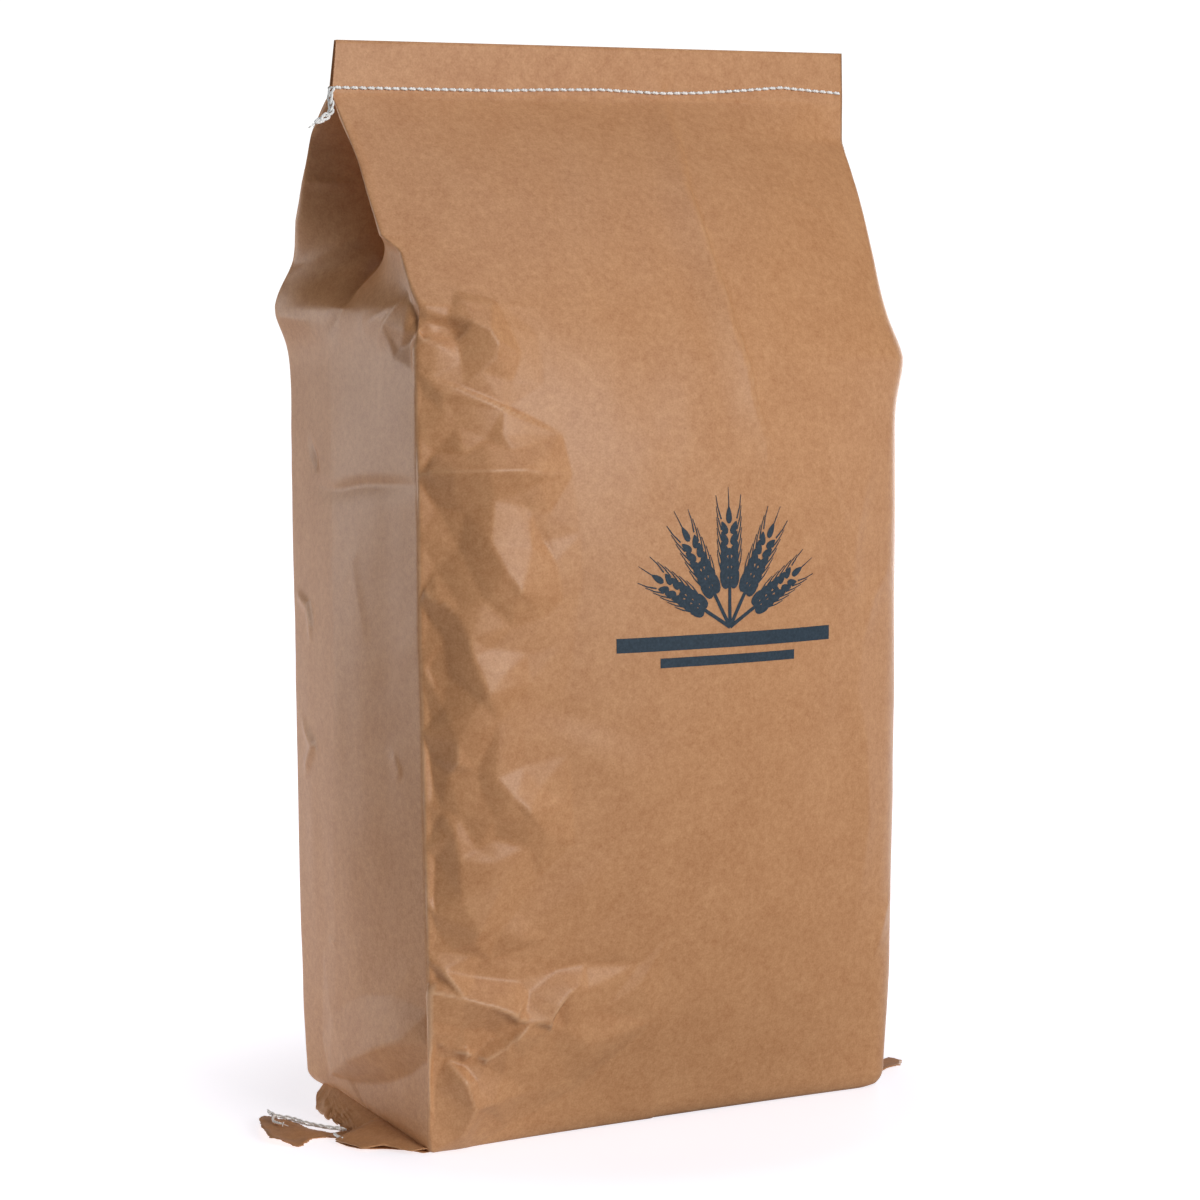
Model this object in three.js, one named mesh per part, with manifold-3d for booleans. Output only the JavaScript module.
// A full paper sack of rye grain, sewn shut across its mouth and standing on its folded base.
//
// The sack is a flattened paper tube with a gusset folded into each side. Filled, the tube
// opens into a block with a bulging front and back. Above the grain it closes again to a flat
// mouth: the front and back panels lean together, the gussets fold in between them, and one
// row of thread sews all four layers shut. The other end of the tube is sewn the same way,
// folded under the sack, and its torn ends stick out at both sides of the base.
//
// Millimetres. X runs along the width, +Y to the back and +Z up.
// The origin is the middle of the footprint, on the ground.

import * as THREE from "three";
import { mergeVertices } from "three/addons/utils/BufferGeometryUtils.js";
import Module from "manifold-3d";

// ---- driving dimensions -------------------------------------------------------------------

// The paper tube
const FLAT_WIDTH = 380;            // crease to crease, where the tube is pressed flat
const GUSSET_DEPTH = 76;           // how far each gusset folds in at the mouth
const MOUTH_THICKNESS = 5;         // the sewn layers, with the air between them

// Heights, measured at the middle of the width
const SEAM_Z = 652;                // the row of stitches
const CLOSED_Z = 648;              // the front and back panels lie together down to here
const TOP_Z = 681;                 // the cut edge of the mouth
const MOUTH_RISE = 5.5;            // the mouth leans: its right end is this much higher

// The filled block
const HALF_DEPTH = 83;             // origin to the front and back creases
const BASE_HALF_DEPTH = 79;        // the same at the ground
const FRONT_BELLY = 38;            // the front panel's bulge at mid-height
const BACK_BELLY = 20;
const SIDE_BELLY = 13;
const BELLY_Z = 325;               // the height of the widest bulge

// Each side's gable: where its two panels start to part below the seam, and where they are
// fully apart
const LEFT_GABLE = { closedZ: CLOSED_Z, openZ: 518 };
const RIGHT_GABLE = { closedZ: 622, openZ: 482 };

// The four long edges of the block. The front left one is still a sharp crease, and the others
// are rounded by the grain. baseX and shoulderX say how far an edge stands from the middle at the
// ground and under the gable. tip says how far the paper sticks out between block and gable.
// A partPower under 1 makes an edge leave the seam more steeply.
const FRONT_LEFT = { baseX: 167, shoulderX: 176, radius: 2, tip: 0, partPower: 1 };
const FRONT_RIGHT = { baseX: 184, shoulderX: 185, radius: 20, tip: 7, partPower: 0.85 };
const BACK_RIGHT = { baseX: 182, shoulderX: 186, radius: 16, tip: 5, partPower: 0.8 };
const BACK_LEFT = { baseX: 174, shoulderX: 181, radius: 6, tip: 10, partPower: 0.8 };
const TIP_HEIGHT = 22;
const SHARP_RADIUS = 0.6;          // a corner where the paper is folded flat

// The lower edge
const BASE_ROUNDING = 12;

// The sewn end that lies under the sack and sticks out at both sides
const FLAP_THICKNESS = 2.4;

// The sewing thread
const THREAD = 1.4;                // diameter of the stitched row
const THREAD_GAP = 0.4;            // between the thread and the paper
const CHAIN_DIAMETER = 3;          // loose thread is a chain of loops, thicker than the row

// ---- how finely each surface is divided ---------------------------------------------------

const PANEL_STEPS = 12;            // across the front, and across the back
const GUSSET_STEPS = 4;            // across each half of a side
const CORNER_STEPS = 3;
const BASE_SPACING = 3;            // between outlines up the lower edge
const BLOCK_SPACING = 32;          // the same up the block
const GABLE_SPACING = 12;          // the same up the gable

// ---- curves that shape the sack -----------------------------------------------------------

const mix = (a, b, share) => a + (b - a) * share;
const clamp01 = (value) => Math.min(1, Math.max(0, value));

function smoothStep(low, high, value) {
  const share = clamp01((value - low) / (high - low));
  return share * share * (3 - 2 * share);
}

// 0 where a side's gusset is folded flat, 1 where the side is fully open
function opening(gable, z) {
  return clamp01((gable.closedZ - z) / (gable.closedZ - gable.openZ));
}

// How far the front or back panel's middle line stands from the origin: one smooth curve from
// the ground out to the belly and in again to the seam
function middleDepth(belly, z) {
  const lowerPower = 2.2;
  const upperPower = 2.8;
  const widest = HALF_DEPTH + belly;
  if (z < BELLY_Z) {
    return mix(widest, BASE_HALF_DEPTH, (1 - z / BELLY_Z) ** lowerPower);
  }
  const rise = clamp01((z - BELLY_Z) / (CLOSED_Z - BELLY_Z));
  return mix(widest, MOUTH_THICKNESS / 2, rise ** upperPower);
}

// How far one long edge stands from the middle at a height, and how sharp it is there
function edgeAt(edge, gable, z) {
  const open = opening(gable, z);
  const blockX = mix(edge.baseX, edge.shoulderX, clamp01(z / gable.openZ));
  const tip = edge.tip * Math.exp(-(((z - gable.openZ) / TIP_HEIGHT) ** 2));
  return {
    x: mix(FLAT_WIDTH / 2, blockX, open) + tip,
    y: mix(MOUTH_THICKNESS / 2, HALF_DEPTH, open ** edge.partPower),
    radius: mix(SHARP_RADIUS, edge.radius, open),
  };
}

// How far a side bulges out in the block and folds in at the gable
function sideAt(gable, z) {
  const open = opening(gable, z);
  const bellyRoundness = 0.7;
  const foldPower = 1.5;
  return {
    belly: SIDE_BELLY * open * Math.sin(Math.PI * clamp01(z / gable.openZ)) ** bellyRoundness,
    inset: GUSSET_DEPTH * (1 - open ** foldPower),
  };
}

// The lower edge turns in over a rounding, and the turn is widest at the back of the left side
function baseTurn(x, y, z) {
  const rise = clamp01(z / BASE_ROUNDING);
  const turn = BASE_ROUNDING * (1 - Math.sqrt(1 - (1 - rise) ** 2));
  const backShare = clamp01((y + HALF_DEPTH) / (2 * HALF_DEPTH));
  const share = x < 0 ? mix(0.35, 1, backShare) : 0.5;
  return turn * share;
}

// ---- one closed outline of the sack at a height -------------------------------------------

// A quarter turn round a long edge. signX and signY say which edge it is, and quarter 0 starts
// where the outline runs to +X along the front.
function cornerArc(edge, signX, signY, quarter) {
  const centreX = signX * (edge.x - edge.radius);
  const centreY = signY * (edge.y - edge.radius);
  const points = [];
  for (let step = 0; step <= CORNER_STEPS; step += 1) {
    const angle = (quarter - 1 + step / CORNER_STEPS) * Math.PI / 2;
    const x = centreX + edge.radius * Math.cos(angle);
    const y = centreY + edge.radius * Math.sin(angle);
    points.push(new THREE.Vector2(x, y));
  }
  return points;
}

// The points between two corners of the front or back panel. Near its edges the panel follows
// them, and in the middle it follows its own smooth curve. facing is -1 for the front.
function panelPoints(from, to, middle, facing) {
  const middlePower = 2.4;
  const points = [];
  for (let step = 1; step < PANEL_STEPS; step += 1) {
    const share = step / PANEL_STEPS;
    const middleShare = 1 - Math.abs(2 * share - 1) ** middlePower;
    const edgeY = mix(from.y, to.y, share);
    points.push(new THREE.Vector2(mix(from.x, to.x, share), mix(edgeY, facing * middle, middleShare)));
  }
  return points;
}

// The points of a side, which bulges outwards in the block and folds inwards in the gable
function gussetPoints(from, to, side, facing) {
  const ridgePower = 1.6;
  const points = [];
  for (let step = 1; step < 2 * GUSSET_STEPS; step += 1) {
    const share = step / (2 * GUSSET_STEPS);
    const fromMiddle = Math.abs(2 * share - 1);
    const out = side.belly * (1 - fromMiddle ** ridgePower) - side.inset * (1 - fromMiddle);
    points.push(new THREE.Vector2(mix(from.x, to.x, share) + facing * out, mix(from.y, to.y, share)));
  }
  return points;
}

function outlineAt(z) {
  const frontRightEdge = edgeAt(FRONT_RIGHT, RIGHT_GABLE, z);
  const backRightEdge = edgeAt(BACK_RIGHT, RIGHT_GABLE, z);
  const backLeftEdge = edgeAt(BACK_LEFT, LEFT_GABLE, z);
  const frontLeftEdge = edgeAt(FRONT_LEFT, LEFT_GABLE, z);
  const frontRight = cornerArc(frontRightEdge, 1, -1, 0);
  const backRight = cornerArc(backRightEdge, 1, 1, 1);
  const backLeft = cornerArc(backLeftEdge, -1, 1, 2);
  const frontLeft = cornerArc(frontLeftEdge, -1, -1, 3);
  const outline = [
    ...frontRight,
    ...gussetPoints(frontRight.at(-1), backRight[0], sideAt(RIGHT_GABLE, z), 1),
    ...backRight,
    ...panelPoints(backRight.at(-1), backLeft[0], middleDepth(BACK_BELLY, z), 1),
    ...backLeft,
    ...gussetPoints(backLeft.at(-1), frontLeft[0], sideAt(LEFT_GABLE, z), -1),
    ...frontLeft,
    ...panelPoints(frontLeft.at(-1), frontRight[0], middleDepth(FRONT_BELLY, z), -1),
  ];
  const baseDepth = mix(BASE_HALF_DEPTH / HALF_DEPTH, 1, smoothStep(0, 90, z));
  return outline.map((point) => {
    const turn = baseTurn(point.x, point.y, z);
    return new THREE.Vector2(
      point.x * (1 - turn / FRONT_LEFT.baseX),
      point.y * baseDepth * (1 - turn / HALF_DEPTH),
    );
  });
}

// ---- the closed surface through all outlines ----------------------------------------------

// Heights from one level up to the next, the lower one left out, at most spacing apart
function heightsUpTo(low, high, spacing) {
  const count = Math.ceil((high - low) / spacing);
  return Array.from({ length: count }, (_, step) => mix(low, high, (step + 1) / count));
}

function outlineHeights() {
  return [
    0,
    ...heightsUpTo(0, BASE_ROUNDING, BASE_SPACING),
    ...heightsUpTo(BASE_ROUNDING, RIGHT_GABLE.openZ, BLOCK_SPACING),
    ...heightsUpTo(RIGHT_GABLE.openZ, LEFT_GABLE.openZ, GABLE_SPACING),
    ...heightsUpTo(LEFT_GABLE.openZ, RIGHT_GABLE.closedZ, GABLE_SPACING),
    ...heightsUpTo(RIGHT_GABLE.closedZ, LEFT_GABLE.closedZ, GABLE_SPACING),
    SEAM_Z,
    TOP_Z,
  ];
}

// The mouth leans along its width, and the lean fades out down the front and back
function leaned(x, z) {
  const lean = MOUTH_RISE / FLAT_WIDTH;
  return z + lean * x * smoothStep(360, SEAM_Z, z);
}

function lofted(heights) {
  const outlines = heights.map(outlineAt);
  const count = outlines[0].length;
  const positions = outlines.flatMap((outline, level) =>
    outline.flatMap((point) => [point.x, point.y, leaned(point.x, heights[level])]));
  const faces = [];
  for (let level = 0; level + 1 < outlines.length; level += 1) {
    for (let step = 0; step < count; step += 1) {
      const next = (step + 1) % count;
      const low = level * count;
      const high = low + count;
      faces.push(low + step, low + next, high + next);
      faces.push(low + step, high + next, high + step);
    }
  }
  const top = (outlines.length - 1) * count;
  for (const [a, b, c] of THREE.ShapeUtils.triangulateShape(outlines[0], [])) {
    faces.push(c, b, a);
  }
  for (const [a, b, c] of THREE.ShapeUtils.triangulateShape(outlines.at(-1), [])) {
    faces.push(top + a, top + b, top + c);
  }
  const geometry = new THREE.BufferGeometry();
  geometry.setAttribute("position", new THREE.Float32BufferAttribute(positions, 3));
  geometry.setIndex(faces);
  return geometry;
}

// ---- joining closed pieces ----------------------------------------------------------------

const wasm = await Module();
wasm.setup();

function toSolid(geometry) {
  const bare = geometry.clone();
  bare.deleteAttribute("normal");
  bare.deleteAttribute("uv");
  const merged = mergeVertices(bare);
  return new wasm.Manifold(new wasm.Mesh({
    numProp: 3,
    vertProperties: new Float32Array(merged.attributes.position.array),
    triVerts: new Uint32Array(merged.index.array),
  }));
}

function toGeometry(solid) {
  const mesh = solid.getMesh();
  const geometry = new THREE.BufferGeometry();
  geometry.setAttribute("position", new THREE.BufferAttribute(mesh.vertProperties, 3));
  geometry.setIndex(new THREE.BufferAttribute(mesh.triVerts, 1));
  geometry.computeVertexNormals();
  return geometry;
}

// ---- the sack -----------------------------------------------------------------------------

// A flat piece of the sewn end on the ground. Its first and last points lie under the sack.
function flap(outline) {
  const shape = new THREE.Shape(outline.map(([x, y]) => new THREE.Vector2(x, y)));
  return new THREE.ExtrudeGeometry(shape, { depth: FLAP_THICKNESS, bevelEnabled: false });
}

// The torn left end: a wide, ragged tongue
const LEFT_FLAP = [
  [-120, -62], [-120, 30], [-164, 22], [-176, -8], [-190, -15], [-206, 8], [-217, 30], [-214, 56],
  [-223, 46], [-241, -12], [-229, -25], [-215, -17], [-203, -40], [-186, -49], [-166, -66],
];

// The right end: a short ear
const RIGHT_FLAP = [[150, -56], [172, -56], [207, -43], [215, -42], [224, -34], [220, -20], [150, -8]];

function sack() {
  const body = toSolid(lofted(outlineHeights()));
  const geometry = toGeometry(body.add(toSolid(flap(LEFT_FLAP))).add(toSolid(flap(RIGHT_FLAP))));
  const kraftPaper = new THREE.MeshStandardMaterial({ color: 0xbd8e6b, roughness: 0.75, metalness: 0 });
  const mesh = new THREE.Mesh(geometry, kraftPaper);
  mesh.name = "sack";
  return mesh;
}

// ---- the sewing thread --------------------------------------------------------------------

const sewingThread = () => new THREE.MeshStandardMaterial({ color: 0xeeeae2, roughness: 0.85, metalness: 0 });

// A loose length of chained loops along a route
function looseChain(route, steps) {
  const section = new THREE.Shape();
  section.absarc(0, 0, CHAIN_DIAMETER / 2, 0, 2 * Math.PI);
  const extrudePath = new THREE.CatmullRomCurve3(route.map(([x, y, z]) => new THREE.Vector3(x, y, z)));
  return new THREE.ExtrudeGeometry(section, { steps, curveSegments: 8, extrudePath });
}

// The row of stitches runs along the front of the mouth, round its edges and along its back
function stitchedRow() {
  const outer = new THREE.Shape();
  const inner = new THREE.Path();
  const traceBand = (path, gap) => {
    const x = FLAT_WIDTH / 2 + gap;
    const y = MOUTH_THICKNESS / 2 + gap;
    path.moveTo(-x, -y);
    path.lineTo(x, -y);
    path.lineTo(x, y);
    path.lineTo(-x, y);
    path.closePath();
  };
  traceBand(outer, THREAD_GAP + THREAD);
  traceBand(inner, THREAD_GAP);
  outer.holes.push(inner);
  const band = new THREE.ExtrudeGeometry(outer, { depth: THREAD, bevelEnabled: false });
  band.translate(0, 0, -THREAD / 2);
  return band;
}

// The chained tail hangs from the left end of the row, outwards and down beside the gable
function threadTail() {
  const startX = -FLAT_WIDTH / 2 - THREAD_GAP - THREAD / 2;
  const startY = -MOUTH_THICKNESS / 2 - THREAD_GAP;
  return looseChain([
    [startX, startY, 0],
    [startX - 2.5, -4, -5],
    [startX - 3, -6, -13],
    [startX - 7, -7, -17],
    [startX - 12, -7, -20],
    [startX - 16, -7, -25],
  ], 14);
}

function closingThread() {
  const geometry = toGeometry(toSolid(stitchedRow()).add(toSolid(threadTail())));
  const mesh = new THREE.Mesh(geometry, sewingThread());
  mesh.name = "closing_thread";
  mesh.position.z = SEAM_Z;
  mesh.rotation.y = -Math.atan(MOUTH_RISE / FLAT_WIDTH);
  return mesh;
}

// What is left of the lower seam's thread lies along the back edge of the torn left end
function baseThread() {
  const z = FLAP_THICKNESS + THREAD_GAP + CHAIN_DIAMETER / 2;
  const route = [[-217, 44, z], [-216, 34, z], [-208, 16, z], [-200, 2, z], [-192, -9, z], [-183, -16, z]];
  const mesh = new THREE.Mesh(looseChain(route, 14), sewingThread());
  mesh.name = "base_thread";
  return mesh;
}

// ---- the whole ----------------------------------------------------------------------------

const ryeSack = new THREE.Group();
ryeSack.add(sack(), closingThread(), baseThread());

export default ryeSack;
